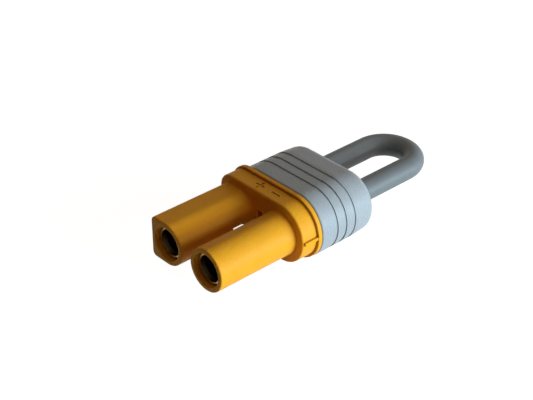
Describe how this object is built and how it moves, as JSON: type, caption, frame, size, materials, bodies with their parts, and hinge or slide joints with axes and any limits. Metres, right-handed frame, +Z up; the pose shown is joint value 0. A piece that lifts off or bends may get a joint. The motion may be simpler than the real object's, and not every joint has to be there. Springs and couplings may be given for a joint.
{
  "type": "battery loop connector",
  "caption": "Short power plug with a square and a round socket barrel, a grooved rear cover and a wire loop that joins its contacts.",
  "frame": {"origin": "bottom centre of the bounding box: midway between the contacts, on the plane of the cover's flat underside", "axes": "+Y along the contacts from the mating mouths to the wire loop, +X from the square barrel to the round one, +Z up"},
  "size_m": [0.024, 0.059, 0.0131],
  "materials": {
    "housing_nylon": "satin moulded nylon, orange-yellow",
    "cover_nylon": "satin moulded nylon, mid grey",
    "contact_plating": "turned brass with thin gold plating",
    "solder": "bright tin solder",
    "wire_strands": "tinned copper strands",
    "wire_insulation": "matt silicone rubber, grey"
  },
  "bodies": {
    "root": {"connector_housing": "housing_nylon", "rear_cover": "cover_nylon", "positive_socket": "contact_plating", "negative_socket": "contact_plating", "positive_solder": "solder", "negative_solder": "solder", "loop_conductor": "wire_strands", "loop_insulation": "wire_insulation"}
  },
  "joints": []
}
